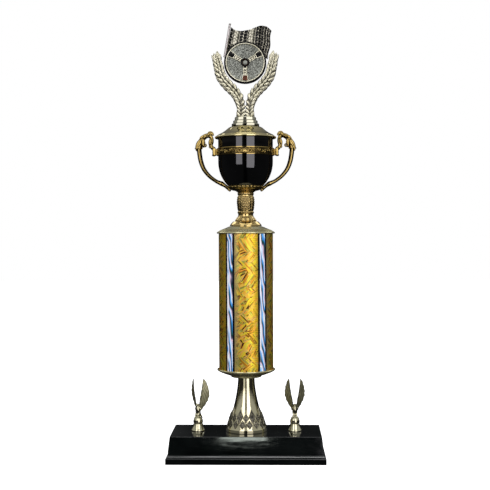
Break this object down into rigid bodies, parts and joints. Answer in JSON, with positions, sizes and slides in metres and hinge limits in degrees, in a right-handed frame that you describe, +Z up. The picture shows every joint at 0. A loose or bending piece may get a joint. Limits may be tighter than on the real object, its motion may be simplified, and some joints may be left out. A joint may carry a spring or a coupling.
{
  "type": "column trophy",
  "caption": "Table-top racing trophy: plinth, riser, film-wrapped column, two-handled lidded cup, laurel and steering-wheel topper, and side eagles that swivel.",
  "frame": {"origin": "middle of the plinth's underside, on the surface that it stands on", "axes": "+Z up the column, +X to the viewer's right along the plinth, -Y towards the front"},
  "size_m": [0.2032, 0.0952, 0.564],
  "materials": {
    "black_plastic": "polished black moulding",
    "hardboard": "pressed fibreboard",
    "felt": "dark green felt",
    "cast_weight": "rough cast",
    "zinc_steel": "zinc plated",
    "champagne_gold": "vacuum-plated pale gold",
    "warm_gold": "vacuum-plated warm gold with dark wash",
    "medallion_gold": "pale gold with pebbled grey ground",
    "flag_gold": "pale gold with black squares",
    "black_enamel": "high-gloss black",
    "tube_board": "spiral-wound board",
    "gold_film": "holographic gold film",
    "black_tape": "satin black tape",
    "silver_prism": "prismatic silver foil"
  },
  "bodies": {
    "root": {"base_shell": "black_plastic", "base_cover": "hardboard", "felt_pad": "felt", "weight_plate": "cast_weight", "base_washer": "zinc_steel", "base_nut": "zinc_steel", "main_rod": "zinc_steel", "riser": "champagne_gold", "column_lower_cap": "champagne_gold", "column_tube": "tube_board", "column_film": "gold_film", "stripe_tapes": "black_tape", "stripe_prisms": "silver_prism", "column_upper_cap": "champagne_gold", "cup_stem": "warm_gold", "cup_calyx": "warm_gold", "cup_bowl": "black_enamel", "cup_band": "warm_gold", "handle_left": "warm_gold", "handle_right": "warm_gold", "handle_screws": "zinc_steel", "bowl_washer": "zinc_steel", "bowl_nut": "zinc_steel", "lid": "champagne_gold", "eagle_screws": "zinc_steel", "eagle_washers": "zinc_steel"},
    "topper": {"topper_pedestal": "champagne_gold", "topper_nut": "zinc_steel", "laurel_left": "champagne_gold", "laurel_right": "champagne_gold", "wheel_medallion": "medallion_gold", "race_flag": "flag_gold", "flag_pole": "champagne_gold"},
    "left_eagle": {"eagle_left": "champagne_gold", "eagle_nut_left": "zinc_steel"},
    "right_eagle": {"eagle_right": "champagne_gold", "eagle_nut_right": "zinc_steel"}
  },
  "joints": [
    {"name": "topper_turn", "type": "hinge", "parent": "root", "child": "topper", "pos_m": [0, 0, 0.4297], "axis": [0, 0, 1], "continuous": true},
    {"name": "left_eagle_turn", "type": "hinge", "parent": "root", "child": "left_eagle", "pos_m": [-0.063, 0, 0.0348], "axis": [0, 0, 1], "continuous": true},
    {"name": "right_eagle_turn", "type": "hinge", "parent": "root", "child": "right_eagle", "pos_m": [0.063, 0, 0.0348], "axis": [0, 0, 1], "continuous": true}
  ]
}
